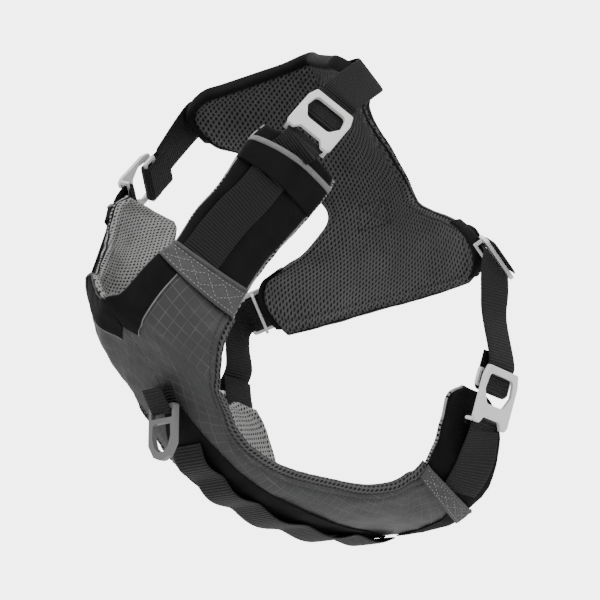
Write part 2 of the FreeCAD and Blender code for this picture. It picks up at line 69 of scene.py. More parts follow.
def curve(values, u):
    """Smooth curve through a list of equal-length tuples, at row number u."""
    last = len(values) - 1
    i = max(min(int(u), last - 1), 0)
    t = u - i
    b = values[i]
    c = values[i + 1]
    a = values[i - 1] if i > 0 else [2 * m - n for m, n in zip(b, c)]
    d = values[i + 2] if i + 2 <= last else [2 * n - m for m, n in zip(b, c)]
    return [0.5 * (2 * q + (r - p) * t + (2 * p - 5 * q + 4 * r - s) * t * t
                   + (3 * q - p - 3 * r + s) * t ** 3) for p, q, r, s in zip(a, b, c, d)]


def centre_bulge(rows, i):
    """Bulge that lets the two sides meet without a crease on the centre line at row i."""
    outer, inner = rows[i][0], rows[i][1]
    first = rows[i - 1][0] if rows[i - 1][0][0] == 0 else outer
    last = rows[i + 1][0] if rows[i + 1][0][0] == 0 else outer
    ty, tz = last[1] - first[1], last[2] - first[2]
    dy, dz = inner[1] - outer[1], inner[2] - outer[2]
    along = (dy * ty + dz * tz) / (ty * ty + tz * tz)
    return (0.12 * inner[0], (along * ty - dy) / 4.0, (along * tz - dz) / 4.0)


def pattern(rows):
    """Rows as flat tuples: outer point, inner point, bulge and the two lifts."""
    out = []
    for i, row in enumerate(rows):
        bulge = row[2] if row[2] is not None else centre_bulge(rows, i)
        lifts = row[3:] if len(row) == 5 else (0.0, row[3])
        out.append(tuple(row[0]) + tuple(row[1]) + tuple(bulge) + tuple(lifts))
    return out


def surface(rows, u, v, side):
    """Point of the worn shape; v runs from the outer edge (0) to the inner edge (1)."""
    r = curve(rows, u)
    bow = 4.0 * v * (1.0 - v)
    x = max(r[0] + (r[3] - r[0]) * v + r[6] * bow, 0.0)
    y = r[1] + (r[4] - r[1]) * v + r[7] * bow
    z = r[2] + (r[5] - r[2]) * v + r[8] * bow
    return Vector((side * x, y, z + side * (r[9] + (r[10] - r[9]) * v)))


def outward(rows, u, v, side):
    """Unit normal of the worn shape, away from the dog."""
    last = len(rows) - 1
    u0, u1 = max(u - 0.4, 0.0), min(u + 0.4, last)
    v0, v1 = max(v - 0.1, 0.0), min(v + 0.1, 1.0)
    along = surface(rows, u1, v, side) - surface(rows, u0, v, side)
    across = surface(rows, u, v1, side) - surface(rows, u, v0, side)
    n = along.cross(across) * side
    if rows is BACK_ROWS:
        n = -n
    if v < 0.01 and surface(rows, u, 0.0, 1).x < 0.1:
        n.x = 0.0
    return n.normalized()


def at(rows, u, v, side, height):
    """Point at a height above the worn shape."""
    return surface(rows, u, v, side) + outward(rows, u, v, side) * height


BACK_ROWS = pattern(BACK)


def cloth(name, along, across, place, thick=0.0, round_tube=False):
    """Cloth whose points come from place(s, t, height) in mm, with its thread lengths as UV in metres."""
    bm = bmesh.new()
    bmesh.ops.create_grid(bm, x_segments=along, y_segments=across, size=0.5)
    spot = {}
    for vert in bm.verts:
        i, j = round((vert.co.x + 0.5) * along), round((vert.co.y + 0.5) * across)
        spot[i, j] = vert
        vert.co = place(i / along, j / across, 0.0) * MM
    run = [0.0]
    middle = across // 2
    for i in range(along):
        run.append(run[-1] + (spot[i + 1, middle].co - spot[i, middle].co).length)
    weave = {}
    for i in range(along + 1):
        reach = 0.0
        weave[spot[i, middle]] = (run[i], 0.0)
        for j in range(middle, across):
            reach += (spot[i, j + 1].co - spot[i, j].co).length
            weave[spot[i, j + 1]] = (run[i], reach)
        reach = 0.0
        for j in range(middle, 0, -1):
            reach -= (spot[i, j - 1].co - spot[i, j].co).length
            weave[spot[i, j - 1]] = (run[i], reach)
    layer = bm.loops.layers.uv.new("weave")
    for face in bm.faces:
        for loop in face.loops:
            loop[layer].uv = weave[loop.vert]
    bm.normal_update()
    if round_tube:
        bmesh.ops.remove_doubles(bm, verts=bm.verts, dist=1e-7)
        bmesh.ops.holes_fill(bm, edges=[e for e in bm.edges if e.is_boundary], sides=0)
        bmesh.ops.recalc_face_normals(bm, faces=bm.faces)
    else:
        up = place(0.5, 0.5, 1.0) - place(0.5, 0.5, 0.0)
        if spot[along // 2, middle].normal.dot(up) < 0.0:
            bmesh.ops.reverse_faces(bm, faces=bm.faces)
    mesh = bpy.data.meshes.new(name)
    bm.to_mesh(mesh)
    bm.free()
    mesh.polygons.foreach_set("use_smooth", [True] * len(mesh.polygons))
    piece = bpy.data.objects.new(name, mesh)
    bpy.context.collection.objects.link(piece)
    if thick:
        wall = piece.modifiers.new("thickness", "SOLIDIFY")
        wall.thickness = thick * MM
        wall.offset = -1.0
    return piece


def linear(code):
    """Linear colour from an sRGB hex value."""
    parts = [int(code[k:k + 2], 16) / 255.0 for k in (1, 3, 5)]
    return [c / 12.92 if c <= 0.04045 else ((c + 0.055) / 1.055) ** 2.4 for c in parts] + [1.0]


def finish_of(name, roughness, ior=1.5, metallic=0.0):
    """A new material: its node tree and its shader."""
    material = bpy.data.materials.new(name)
    material.use_nodes = True
    shader = material.node_tree.nodes["Principled BSDF"]
    shader.inputs["Roughness"].default_value = roughness
    shader.inputs["IOR"].default_value = ior
    shader.inputs["Metallic"].default_value = metallic
    return material, material.node_tree, shader


def add(tree, kind, inputs=None, **settings):
    """Adds a node with its settings; inputs are values or the sockets that feed them."""
    made = tree.nodes.new(kind)
    for key, value in settings.items():
        setattr(made, key, value)
    for key, value in (inputs or {}).items():
        if isinstance(value, bpy.types.NodeSocket):
            tree.links.new(value, made.inputs[key])
        else:
            made.inputs[key].default_value = value
    return made


def mixed(tree, factor, first, second):
    """Colour socket between two colours."""
    return add(tree, "ShaderNodeMix", {"Factor": factor, 6: first, 7: second}, data_type="RGBA").outputs[2]


def bumped(tree, shader, height, strength, distance):
    """Turn a height into the shader's bump."""
    bump = add(tree, "ShaderNodeBump", {"Strength": strength, "Distance": distance, "Height": height})
    tree.links.new(bump.outputs[0], shader.inputs["Normal"])


def dress(piece, material, slot, *nodes):
    """Give a piece its material and stand it on the harness for its CAD nodes; slot is not used."""
    piece.data.materials.append(material)
    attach(piece, "harness")
    if nodes:
        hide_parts(*nodes)


def spacer_mesh(name, thread, shade, hole_mm):
    """Knitted polyester spacer mesh: dull soft threads round staggered open holes, about 3 mm apart; the
    holes are painted near-black as painted shade.
    """
    material, tree, shader = finish_of(name, 0.88, 1.45)
    shader.inputs["Sheen Weight"].default_value = 0.02
    shader.inputs["Sheen Roughness"].default_value = 0.6
    shader.inputs["Specular IOR Level"].default_value = 0.25
    weave = add(tree, "ShaderNodeUVMap", uv_map="weave").outputs[0]
    split = add(tree, "ShaderNodeSeparateXYZ", {0: weave})
    # Rows of holes are 2.7 mm apart, and every other row is shifted by half a hole.
    down = add(tree, "ShaderNodeMath", {0: split.outputs[1], 1: 1.0 / 0.0027}, operation="MULTIPLY")
    half = add(tree, "ShaderNodeMath", {0: down.outputs[0], 1: 0.5}, operation="MULTIPLY")
    over = add(tree, "ShaderNodeMath", {0: split.outputs[0], 1: 1.0 / 0.0031, 2: half.outputs[0]},
               operation="MULTIPLY_ADD")
    lattice = add(tree, "ShaderNodeCombineXYZ", {0: over.outputs[0], 1: down.outputs[0]})
    wobble = add(tree, "ShaderNodeTexNoise", {"Vector": lattice.outputs[0], "Scale": 0.9, "Detail": 1.0})
    moved = add(tree, "ShaderNodeVectorMath", {0: wobble.outputs["Color"], 1: (0.22, 0.22, 0.0),
                                               2: lattice.outputs[0]}, operation="MULTIPLY_ADD")
    cells = add(tree, "ShaderNodeTexVoronoi", {"Vector": moved.outputs[0], "Scale": 1.0, "Randomness": 0.0},
                voronoi_dimensions="2D")
    edge = hole_mm / 3.1 / 2.0
    thread_mask = add(tree, "ShaderNodeMapRange", {
        "Value": cells.outputs["Distance"], "From Min": edge * 0.72, "From Max": edge * 1.3},
        interpolation_type="SMOOTHSTEP")
    fibre = add(tree, "ShaderNodeTexNoise", {"Vector": weave, "Scale": 2200.0, "Detail": 2.0})
    cloud = add(tree, "ShaderNodeTexNoise", {"Vector": weave, "Scale": 45.0, "Detail": 2.0})
    tint = mixed(tree, cloud.outputs["Fac"], linear(thread), linear(shade))
    fleck = mixed(tree, fibre.outputs["Fac"], tint, linear(shade))
    # The holes are painted near-black: painted shade in the depth of each hole, since the cloth itself is
    # unbroken.
    colour = mixed(tree, thread_mask.outputs[0], linear("#050505"), fleck)
    tree.links.new(colour, shader.inputs["Base Color"])
    level = add(tree, "ShaderNodeMath", {0: fibre.outputs["Fac"], 1: 0.25, 2: thread_mask.outputs[0]},
                operation="MULTIPLY_ADD")
    bumped(tree, shader, level.outputs[0], 0.7, 0.0008)
    return material


def rolled(distance, radius):
    """Drop of a rolled edge at a distance in from it."""
    inside = min(max(distance, 0.0), radius)
    return radius - math.sqrt(max(radius * radius - (radius - inside) ** 2, 0.0))


def dimple(p, size, depth):
    """Soft unevenness of padding."""
    return noise.noise(Vector(p) / size) * depth


def edge_distances(rows, u, v, side):
    """Distances from the two long edges of a pattern, in mm."""
    a = (surface(rows, u, v, side) - surface(rows, u, 0.0, side)).length
    b = (surface(rows, u, 1.0, side) - surface(rows, u, v, side)).length
    return a, b


mesh_dark = spacer_mesh("spacer_mesh_charcoal", "#5c5c5d", "#363637", 1.9)
BACK_FROM, BACK_TO = 0.25, 15.0


def back_mesh_point(s, t, height):
    u = BACK_FROM + (BACK_TO - BACK_FROM) * s
    side = 1 if t >= 0.5 else -1
    v = min(abs(t - 0.5) * 2.0, 1.0)
    p = surface(BACK_ROWS, u, v, side)
    to_edge = edge_distances(BACK_ROWS, u, v, side)[1]
    ends = min(u - BACK_FROM, BACK_TO - u) * 9.0
    near = min(to_edge, ends)
    seam = 0.9 * math.exp(-((near - 7.0) / 1.3) ** 2)
    low = 0.2 - dimple(p, 13.0, 1.0) + seam + rolled(near, 4.5)
    return p + outward(BACK_ROWS, u, v, side) * (low - height)


back_mesh = cloth("back_panel_mesh", 190, 150, back_mesh_point, 2.0)
dress(back_mesh, mesh_dark, "air_mesh_dark", "back_lining", "back_padding")

# Back panel, outer side. A black knitted cover lies on the foam, sewn to the mesh all round,
# with a soft swell between the spine webbing and the edge.


def soft_knit(name, base, light, sheen):
    """Smooth polyester knit: very fine loops that only show as a faint grain, with a low sheen."""
    material, tree, shader = finish_of(name, 0.8, 1.45)
    shader.inputs["Sheen Weight"].default_value = sheen
    shader.inputs["Sheen Roughness"].default_value = 0.45
    shader.inputs["Specular IOR Level"].default_value = 0.12
    weave = add(tree, "ShaderNodeUVMap", uv_map="weave").outputs[0]
    # Loops are 0.5 mm apart; drawn at 0.7 mm so that they show.
    loops = add(tree, "ShaderNodeTexVoronoi", {"Vector": weave, "Scale": 1400.0, "Randomness": 0.35})
    cloud = add(tree, "ShaderNodeTexNoise", {"Vector": weave, "Scale": 60.0, "Detail": 4.0})
    worn = add(tree, "ShaderNodeMapRange", {
        "Value": cloud.outputs["Fac"], "From Min": 0.35, "From Max": 0.75})
    tint = mixed(tree, worn.outputs[0], linear(base), linear(light))
    tree.links.new(tint, shader.inputs["Base Color"])
    creases = add(tree, "ShaderNodeTexNoise", {
        "Vector": weave, "Scale": 160.0, "Detail": 3.0, "Distortion": 1.2})
    height = add(tree, "ShaderNodeMath", {0: creases.outputs["Fac"], 1: 1.2, 2: loops.outputs["Distance"]},
                 operation="MULTIPLY_ADD")
    bumped(tree, shader, height.outputs[0], 0.35, 0.0004)
    return material


knit = soft_knit("black_polyester_knit", "#060607", "#0e0e0f", 0.008)


def back_cover_point(s, t, height):
    u = BACK_FROM + (BACK_TO - BACK_FROM) * s
    side = 1 if t >= 0.5 else -1
    v = min(abs(t - 0.5) * 2.0, 1.0)
    p = surface(BACK_ROWS, u, v, side)
    near = min(edge_distances(BACK_ROWS, u, v, side)[1], min(u - BACK_FROM, BACK_TO - u) * 9.0)
    top = 6.6 + dimple(p, 18.0, 0.7) - rolled(near, 4.0) - 0.8 * math.exp(-((near - 7.0) / 1.2) ** 2)
    return p + outward(BACK_ROWS, u, v, side) * (top + height)


back_cover = cloth("back_panel_cover", 150, 110, back_cover_point, 1.2)
dress(back_cover, knit, "black_knit", "back_outer")

# Neck binding. A folded strip of black stretch knit wraps the front edge of the back panel
# from one shoulder strap to the other and is sewn through all the layers.


def ribbon(name, stations, width, thick, sides=28, square=0.32):
    """Webbing or piping through stations of (point, across, outward), with rounded edges."""
    rows = [tuple(p) + tuple(w) + tuple(n) for p, w, n in stations]
    length = sum((b[0] - a[0]).length for a, b in zip(stations, stations[1:]))

    def place(s, t, height):
        r = curve(rows, s * (len(rows) - 1))
        p, w, n = Vector(r[0:3]), Vector(r[3:6]).normalized(), Vector(r[6:9]).normalized()
        a = 2.0 * math.pi * t
        x = math.copysign(abs(math.cos(a)) ** square, math.cos(a)) * width / 2.0
        y = math.copysign(abs(math.sin(a)) ** 0.7, math.sin(a)) * thick / 2.0
        return p + w * x + n * (y + height)

    return cloth(name, max(int(length / 1.0), 8), sides, place, round_tube=True)


def binding_stations():
    side_runs = []
    for side in (-1, 1):
        run = []
        for u, v in ((3.0, 1.0), (2.4, 1.0), (1.8, 1.0), (1.2, 1.0), (0.6, 1.0), (0.0, 0.97), (0.0, 0.8),
                     (0.0, 0.6), (0.0, 0.4), (0.0, 0.2)):
            p = surface(BACK_ROWS, u, v, side)
            n = outward(BACK_ROWS, u, v, side)
            t = p - surface(BACK_ROWS, u + 1.0, v * 0.85, side)
            t = (t - n * t.dot(n)).normalized()
            run.append((p + t * 0.4 + n * 3.0, n, t))
        side_runs.append(run)
    p = surface(BACK_ROWS, 0.0, 0.0, 1)
    n = (side_runs[0][-1][1] + side_runs[1][-1][1]).normalized()
    t = (side_runs[0][-1][2] + side_runs[1][-1][2]).normalized()
    return side_runs[0] + [(p + t * 0.4 + n * 3.0, n, t)] + side_runs[1][::-1]


binding = ribbon("neck_edge_binding", binding_stations(), 8.8, 6.0, 24, 0.8)
dress(binding, knit, "black_knit", "neck_binding")

# Arm bindings. The same knit strip wraps the lower edge of each arm that the girth strap leaves.


def arm_stations(side):
    out = []
    for k in range(9):
        u = 10.9 + 0.45 * k
        p = surface(BACK_ROWS, u, 1.0, side)
        n = outward(BACK_ROWS, u, 1.0, side)
        t = p - surface(BACK_ROWS, u, 0.85, side)
        t = (t - n * t.dot(n)).normalized()
        out.append((p + t * 0.2 + n * 3.0, n, t))
    return out


for side, word in ((1, "left"), (-1, "right")):
    arm = ribbon("arm_edge_binding_" + word, arm_stations(side), 8.0, 4.6, 20, 0.8)
    dress(arm, knit, "black_knit")

# Spine webbing and grab handle. A length of 25 mm webbing is sewn down the middle of the back,
# and a second length is bar-tacked on it at both ends and arches up between them as a handle.


def webbing_finish(name, base, light):
    """Black polyester webbing: hard ribs across it, 1.9 mm apart, each of tight lengthwise yarns."""
    material, tree, shader = finish_of(name, 0.6, 1.5)
    shader.inputs["Specular IOR Level"].default_value = 0.2
    weave = add(tree, "ShaderNodeUVMap", uv_map="weave").outputs[0]
    split = add(tree, "ShaderNodeSeparateXYZ", {0: weave})
    turn = 2.0 * math.pi
    rib = add(tree, "ShaderNodeMath", {0: split.outputs[0], 1: turn / 0.0019}, operation="MULTIPLY")
    rib = add(tree, "ShaderNodeMath", {0: rib.outputs[0]}, operation="SINE")
    yarn = add(tree, "ShaderNodeMath", {0: split.outputs[1], 1: turn / 0.0011}, operation="MULTIPLY")
    yarn = add(tree, "ShaderNodeMath", {0: yarn.outputs[0]}, operation="SINE")
    knot = add(tree, "ShaderNodeMath", {0: rib.outputs[0], 1: yarn.outputs[0]}, operation="MULTIPLY")
    grain = add(tree, "ShaderNodeMath", {0: knot.outputs[0], 1: 0.3, 2: rib.outputs[0]},
                operation="MULTIPLY_ADD")
    fuzz = add(tree, "ShaderNodeTexNoise", {"Vector": weave, "Scale": 900.0, "Detail": 3.0})
    height = add(tree, "ShaderNodeMath", {0: fuzz.outputs["Fac"], 1: 0.5, 2: grain.outputs[0]},
                 operation="MULTIPLY_ADD")
    # The colour follows the bump height: painted highlight on the rib crests and painted shade in the
    # grooves between them, mixed with random fuzz.
    rib_highlight_shade_and_fuzz = add(tree, "ShaderNodeMapRange", {"Value": height.outputs[0], "From Min": -0.8, "From Max": 1.3})
    tint = mixed(tree, rib_highlight_shade_and_fuzz.outputs[0], linear(base), linear(light))
    tree.links.new(tint, shader.inputs["Base Color"])
    bumped(tree, shader, height.outputs[0], 0.8, 0.0005)
    return material


web = webbing_finish("black_ribbed_webbing", "#020202", "#161617")
WEB, WEB_T = 24.0, 1.6


def framed(points, widths):
    """Stations through points, with the width directions made square to the path."""
    out = []
    for i, p in enumerate(points):
        ahead = (points[min(i + 1, len(points) - 1)] - points[max(i - 1, 0)]).normalized()
        w = (widths[i] - ahead * widths[i].dot(ahead)).normalized()
        out.append((p, w, w.cross(ahead)))
    return out


spine_points = [at(BACK_ROWS, 1.0 + k * 0.65, 0.0, 1, 7.6) for k in range(21)]
spine_points = [Vector((0, p.y, p.z)) for p in spine_points]
spine = ribbon("spine_webbing_strip", framed(spine_points, [Vector((1, 0, 0))] * 21), WEB, WEB_T)
handle_points = [at(BACK_ROWS, u, 0.0, 1, n) for u, n in (
    (1.4, 9.6), (2.2, 9.6), (2.9, 11.5), (3.8, 17.0), (5.0, 19.5), (6.2, 19.0), (7.2, 15.5), (7.9, 11.5),
    (8.4, 9.6), (9.0, 9.6))]
handle_points = [Vector((0, p.y, p.z)) for p in handle_points]
handle = ribbon("grab_handle_loop", framed(handle_points, [Vector((1, 0, 0))] * 10), WEB, WEB_T)
dress(spine, web, "webbing", "spine_webbing")
dress(handle, web, "webbing", "grab_handle")

# Chest sides. Each side is a padded panel of charcoal ripstop over foam, lined with light spacer
# mesh. It runs from the shoulder down over the chest, back along the sternum and up behind the
# leg, and its leg edge is rolled, overlocked and top-stitched.

# Rows from the shoulder tip to the belly tip: outer edge, leg edge, bulge, lifts of the two edges.
SIDE = [
    ((60, -118, 65), (71, -72, 48), (4, 0, 2), 9, 0),
    ((59, -131, 53), (67, -73, 40), (5, -1, 1), 8, 0),
    ((50, -144, 27), (59, -86, 20), (5, -2, 0), 7, 0),
    ((41, -154, 13), (51, -102, -1), (5, -3, -1), 5, 0),
    ((35, -164, -4), (47, -118, -23), (4, -4, -2), 3, 0),
    ((29, -171, -10), (44, -128, -42), (4, -5, -3), 1, 0),
    ((20, -176, -19), (42, -134, -56), (4, -5, -3), 0, 0),
    ((9, -180, -30), (37, -132, -68), (4, -5, -3), 0, 0),
    ((0, -184, -33), (33, -129, -78), None, 0, 0),
    ((0, -170, -46), (32, -128, -82), None, 0, 0),
    ((0, -150, -64.5), (31, -124, -87), None, 0, 0),
    ((0, -134.5, -82), (30, -119, -93), None, 0, 0),
    ((0, -123.5, -100), (30, -114, -102), None, 0, 0),
    ((0, -111.5, -114.5), (30, -103, -111), None, 0, 0),
    ((0, -95, -126), (31, -87, -118), None, 0, 0),
    ((0, -72, -135), (33, -68, -123), None, 0, 0),
    ((0, -42, -142), (38, -41, -126), None, 0, 0),
    ((0, -8, -145), (44, -17, -128), None, 0, 0),
    ((0, 24, -144), (51, -2, -126), None, 0, 0),
    ((0, 48, -143), (56, 4, -123), None, 0, 0),
    ((26, 53, -142), (60, 6, -120), (3, 0, -5), 0, 0),
    ((50, 55, -138), (64, 8, -117), (4, 0, -5), -1, -1),
    ((64, 55, -131), (70, 9, -110), (4, 0, -4), -2, -2),
    ((78, 53, -123), (77, 7, -101), (4, 0, -3), -3, -3),
    ((88, 50, -113), (84, 4, -93), (4, 0, -2), -4, -4),
    ((95, 48, -99), (90, 2, -81), (3, 0, -1), -5, -5),
    ((98, 46, -85), (94, 2, -69), (2, 0, 0), -6, -7),
    ((99, 39, -69), (97, 5, -63), (1, 0, 0), -7, -7),
    ((98, 30, -60), (98, 14, -58), (0, 0, 0), -8, -8),
]
SIDE_ROWS = pattern(SIDE)


def ripstop_finish():
    """Charcoal nylon ripstop: a flat fine weave with a raised double thread every 6.3 mm each way."""
    material, tree, shader = finish_of("charcoal_nylon_ripstop", 0.55, 1.53)
    shader.inputs["Sheen Weight"].default_value = 0.03
    shader.inputs["Specular IOR Level"].default_value = 0.25
    weave = add(tree, "ShaderNodeUVMap", uv_map="weave").outputs[0]
    turned = add(tree, "ShaderNodeMapping", {"Vector": weave, "Rotation": (0.0, 0.0, math.radians(8.0)),
                                             "Scale": (1.0 / 0.0063, 1.0 / 0.0063, 1.0)})
    split = add(tree, "ShaderNodeSeparateXYZ", {0: turned.outputs[0]})
    lines = []
    for k in (0, 1):
        part = add(tree, "ShaderNodeMath", {0: split.outputs[k]}, operation="FRACT")
        off = add(tree, "ShaderNodeMath", {0: part.outputs[0], 1: 0.5}, operation="SUBTRACT")
        off = add(tree, "ShaderNodeMath", {0: off.outputs[0]}, operation="ABSOLUTE")
        line = add(tree, "ShaderNodeMapRange", {
            "Value": off.outputs[0], "From Min": 0.0, "From Max": 0.06, "To Min": 1.0, "To Max": 0.0})
        lines.append(line.outputs[0])
    grid = add(tree, "ShaderNodeMath", {0: lines[0], 1: lines[1]}, operation="MAXIMUM")
    cloud = add(tree, "ShaderNodeTexNoise", {"Vector": weave, "Scale": 55.0, "Detail": 4.0})
    # Threads are 0.25 mm apart; drawn as 0.8 mm grain so that they show.
    grain = add(tree, "ShaderNodeTexNoise", {"Vector": weave, "Scale": 1300.0, "Detail": 2.0})
    tint = mixed(tree, cloud.outputs["Fac"], linear("#252526"), linear("#353536"))
    speck = mixed(tree, grain.outputs["Fac"], tint, linear("#2a2a2b"))
    # The raised grid threads are painted near-black or light grey as a large cloud noise wanders: painted
    # shade and painted highlight on the raised threads.
    grid_highlight_and_shade = mixed(tree, cloud.outputs["Fac"], linear("#0c0c0d"), linear("#5a5a5c"))
    colour = mixed(tree, grid.outputs[0], speck, grid_highlight_and_shade)
    tree.links.new(colour, shader.inputs["Base Color"])
    ripple = add(tree, "ShaderNodeTexNoise", {
        "Vector": weave, "Scale": 120.0, "Detail": 3.0, "Distortion": 0.8})
    height = add(tree, "ShaderNodeMath", {0: ripple.outputs["Fac"], 1: 1.6, 2: grid.outputs[0]},
                 operation="MULTIPLY_ADD")
    bumped(tree, shader, height.outputs[0], 0.45, 0.0004)
    return material


ripstop = ripstop_finish()
mesh_light = spacer_mesh("spacer_mesh_light_grey", "#9c9c9b", "#717170", 1.6)


# The ripstop starts under the shoulder band and ends under the rear band.
SHELL_FROM, SHELL_LONG = 4.95, 17.0


def chest_shell_point(side):
    def place(s, t, height):
        u = SHELL_FROM + SHELL_LONG * s
        p = surface(SIDE_ROWS, u, t, side)
        leg = edge_distances(SIDE_ROWS, u, t, side)[1]
        stitched = 0.7 * math.exp(-((leg - 5.0) / 0.9) ** 2)
        crease = noise.noise(Vector((p.x, p.y * 0.6, p.z * 1.6)) / 9.0) * 0.7
        top = 0.2 + crease + dimple(p, 26.0, 0.8) - rolled(leg, 3.4) - stitched
        return p + outward(SIDE_ROWS, u, t, side) * (top + height)
    return place


def chest_mesh_point(side):
    def place(s, t, height):
        u = 0.08 + 27.84 * s
        p = surface(SIDE_ROWS, u, t, side)
        neck, leg = edge_distances(SIDE_ROWS, u, t, side)
        beyond = (surface(SIDE_ROWS, u, 1.0, side) - surface(SIDE_ROWS, u, 0.9, side)).normalized()
        ends = min(u, 28.0 - u) * 9.0
        open_neck = neck if (u < 8.0 or u > 19.0) else 99.0
        near = min(leg, ends, open_neck)
        puff = dimple(p, 9.0, 0.9)
        low = -6.2 + puff + rolled(near, 4.5) + 0.6 * math.exp(-((near - 8.0) / 1.2) ** 2)
        reach = (2.0 + 0.5 * noise.noise(p / 5.0)) * math.exp(-leg / 3.0)
        return p + outward(SIDE_ROWS, u, t, side) * (low - height) + beyond * reach
    return place


def rim_stations(side):
    """Line just beyond the leg edge, where charcoal mesh folds round the foam along the ripstop."""
    out = []
    for k in range(171):
        u = SHELL_FROM + SHELL_LONG * k / 170.0
        p = surface(SIDE_ROWS, u, 1.0, side)
        n = outward(SIDE_ROWS, u, 1.0, side)
        beyond = p - surface(SIDE_ROWS, u, 0.9, side)
        beyond = (beyond - n * beyond.dot(n)).normalized()
        lump = 0.45 * noise.noise(p / 4.0)
        out.append((p + beyond * (0.9 + lump) - n * (3.0 - lump), beyond, n))
    return out


for side, word in ((1, "left"), (-1, "right")):
    shell = cloth("chest_shell_cover_" + word, 260, 60, chest_shell_point(side), 1.0)
    dress(shell, ripstop, "ripstop", "chest_shell_" + word, "chest_padding_" + word)
    lining = cloth("chest_mesh_lining_" + word, 360, 64, chest_mesh_point(side), 1.6)
    dress(lining, mesh_light, "air_mesh_light", "chest_lining_" + word)
    rim = ribbon("leg_edge_mesh_rim_" + word, rim_stations(side), 5.0, 6.6, 24, 1.0)
    dress(rim, mesh_dark, "air_mesh_dark")

# Shoulder and belly pads. Black stretch knit covers the foam above the chest band at the shoulder
# and behind the rear band at the belly. Its edges roll over the foam to meet the mesh.


def pad_point(side, first, last):
    def place(s, t, height):
        u = first + (last - first) * s
        p = surface(SIDE_ROWS, u, t, side)
        neck, leg = edge_distances(SIDE_ROWS, u, t, side)
        tip = (u if first < 1.0 else 28.0 - u) * 9.0
        near = min(neck, leg, tip)
        crease = noise.noise(Vector((p.x * 1.4, p.y, p.z * 0.7)) / 8.0) * 0.6
        top = 0.1 + crease + dimple(p, 22.0, 0.6) - rolled(near, 3.6)
        return p + outward(SIDE_ROWS, u, t, side) * (top + height)
    return place


for side, word in ((1, "left"), (-1, "right")):
    for name, first, last in (("shoulder_pad", 0.02, 4.9), ("belly_pad", 22.0, 27.98)):
        pad = cloth(name + "_cover_" + word, 110, 60, pad_point(side, first, last), 2.4)
        dress(pad, knit, "black_knit", name + "_" + word)

# Grey bands, sleeve and collar. Flat grey tape closes the seams between pads and ripstop, with a
# cord in its upper edge and box stitches along it. A black sleeve with a grey piped edge holds
# the shoulder webbing down, a black collar rolls over the neck edge of the chest, and a black
# inset fills the corner ahead of the rear band.


def tape_finish(name, base, light):
    """Grey polyester tape: a tight plain weave, 0.9 mm between ribs, dull and slightly mottled."""
    material, tree, shader = finish_of(name, 0.7, 1.5)
    shader.inputs["Sheen Weight"].default_value = 0.05
    shader.inputs["Specular IOR Level"].default_value = 0.2
    weave = add(tree, "ShaderNodeUVMap", uv_map="weave").outputs[0]
    split = add(tree, "ShaderNodeSeparateXYZ", {0: weave})
    rib = add(tree, "ShaderNodeMath", {0: split.outputs[1], 1: 2.0 * math.pi / 0.0009}, operation="MULTIPLY")
    rib = add(tree, "ShaderNodeMath", {0: rib.outputs[0]}, operation="SINE")
    cloud = add(tree, "ShaderNodeTexNoise", {"Vector": weave, "Scale": 180.0, "Detail": 4.0})
    tint = mixed(tree, cloud.outputs["Fac"], linear(base), linear(light))
    tree.links.new(tint, shader.inputs["Base Color"])
    height = add(tree, "ShaderNodeMath", {0: cloud.outputs["Fac"], 1: 2.5, 2: rib.outputs[0]},
                 operation="MULTIPLY_ADD")
    bumped(tree, shader, height.outputs[0], 0.4, 0.0003)
    return material


tape = tape_finish("grey_polyester_tape", "#323233", "#464647")
cord_cover = tape_finish("grey_reflective_piping", "#5a5a5a", "#707070")


def laid_over(side, first, last, v0, v1, height0, edge):
    """Cloth laid on the chest pattern, turned down at its rim."""
    def place(s, t, height):
        u = first + (last - first) * s
        v = v0(u) + (v1(u) - v0(u)) * t
        p = surface(SIDE_ROWS, u, v, side)
        neck, leg = edge_distances(SIDE_ROWS, u, v, side)
        top = height0 + dimple(p, 7.0, 0.35) - rolled(min(neck, leg), edge)
        return p + outward(SIDE_ROWS, u, v, side) * (top + height)
    return place


def sleeve_point(side):
    """The sleeve is deeper on its leg side, and its piped edge stands off the webbing below it."""
    def place(s, t, height):
        u = 1.02 + (0.42 + 0.38 * t) * s
        p = surface(SIDE_ROWS, u, t, side)
        neck, leg = edge_distances(SIDE_ROWS, u, t, side)
        over_web = 1.9 * math.exp(-((t - 0.36) / 0.34) ** 4)
        top = 1.7 + over_web + dimple(p, 7.0, 0.3) - rolled(min(neck, leg), 3.4)
        return p + outward(SIDE_ROWS, u, t, side) * (top + height)
    return place


def across_all(u):
    return 0.004


def full(u):
    return 1.0


def collar_seam(u):
    return curve([(0.27,), (0.26,), (0.26,), (0.29,), (0.14,)], max(u - 5.0, 0.0))[0]


def inset_reach(u):
    return 0.06 + 0.30 * max(u - 19.4, 0.0) / 1.8


def piping_stations(side, u, height, over):
    out = []
    for k in range(25):
        v = 0.004 + 0.992 * k / 24.0
        p = surface(SIDE_ROWS, u, v, side)
        neck, leg = edge_distances(SIDE_ROWS, u, v, side)
        n = outward(SIDE_ROWS, u, v, side)
        along = surface(SIDE_ROWS, u + 0.2, v, side) - surface(SIDE_ROWS, u - 0.2, v, side)
        lift = over * math.exp(-((v - 0.36) / 0.34) ** 4)
        out.append((p + n * (height + lift - rolled(min(neck, leg), 3.4)), along.normalized(), n))
    return out
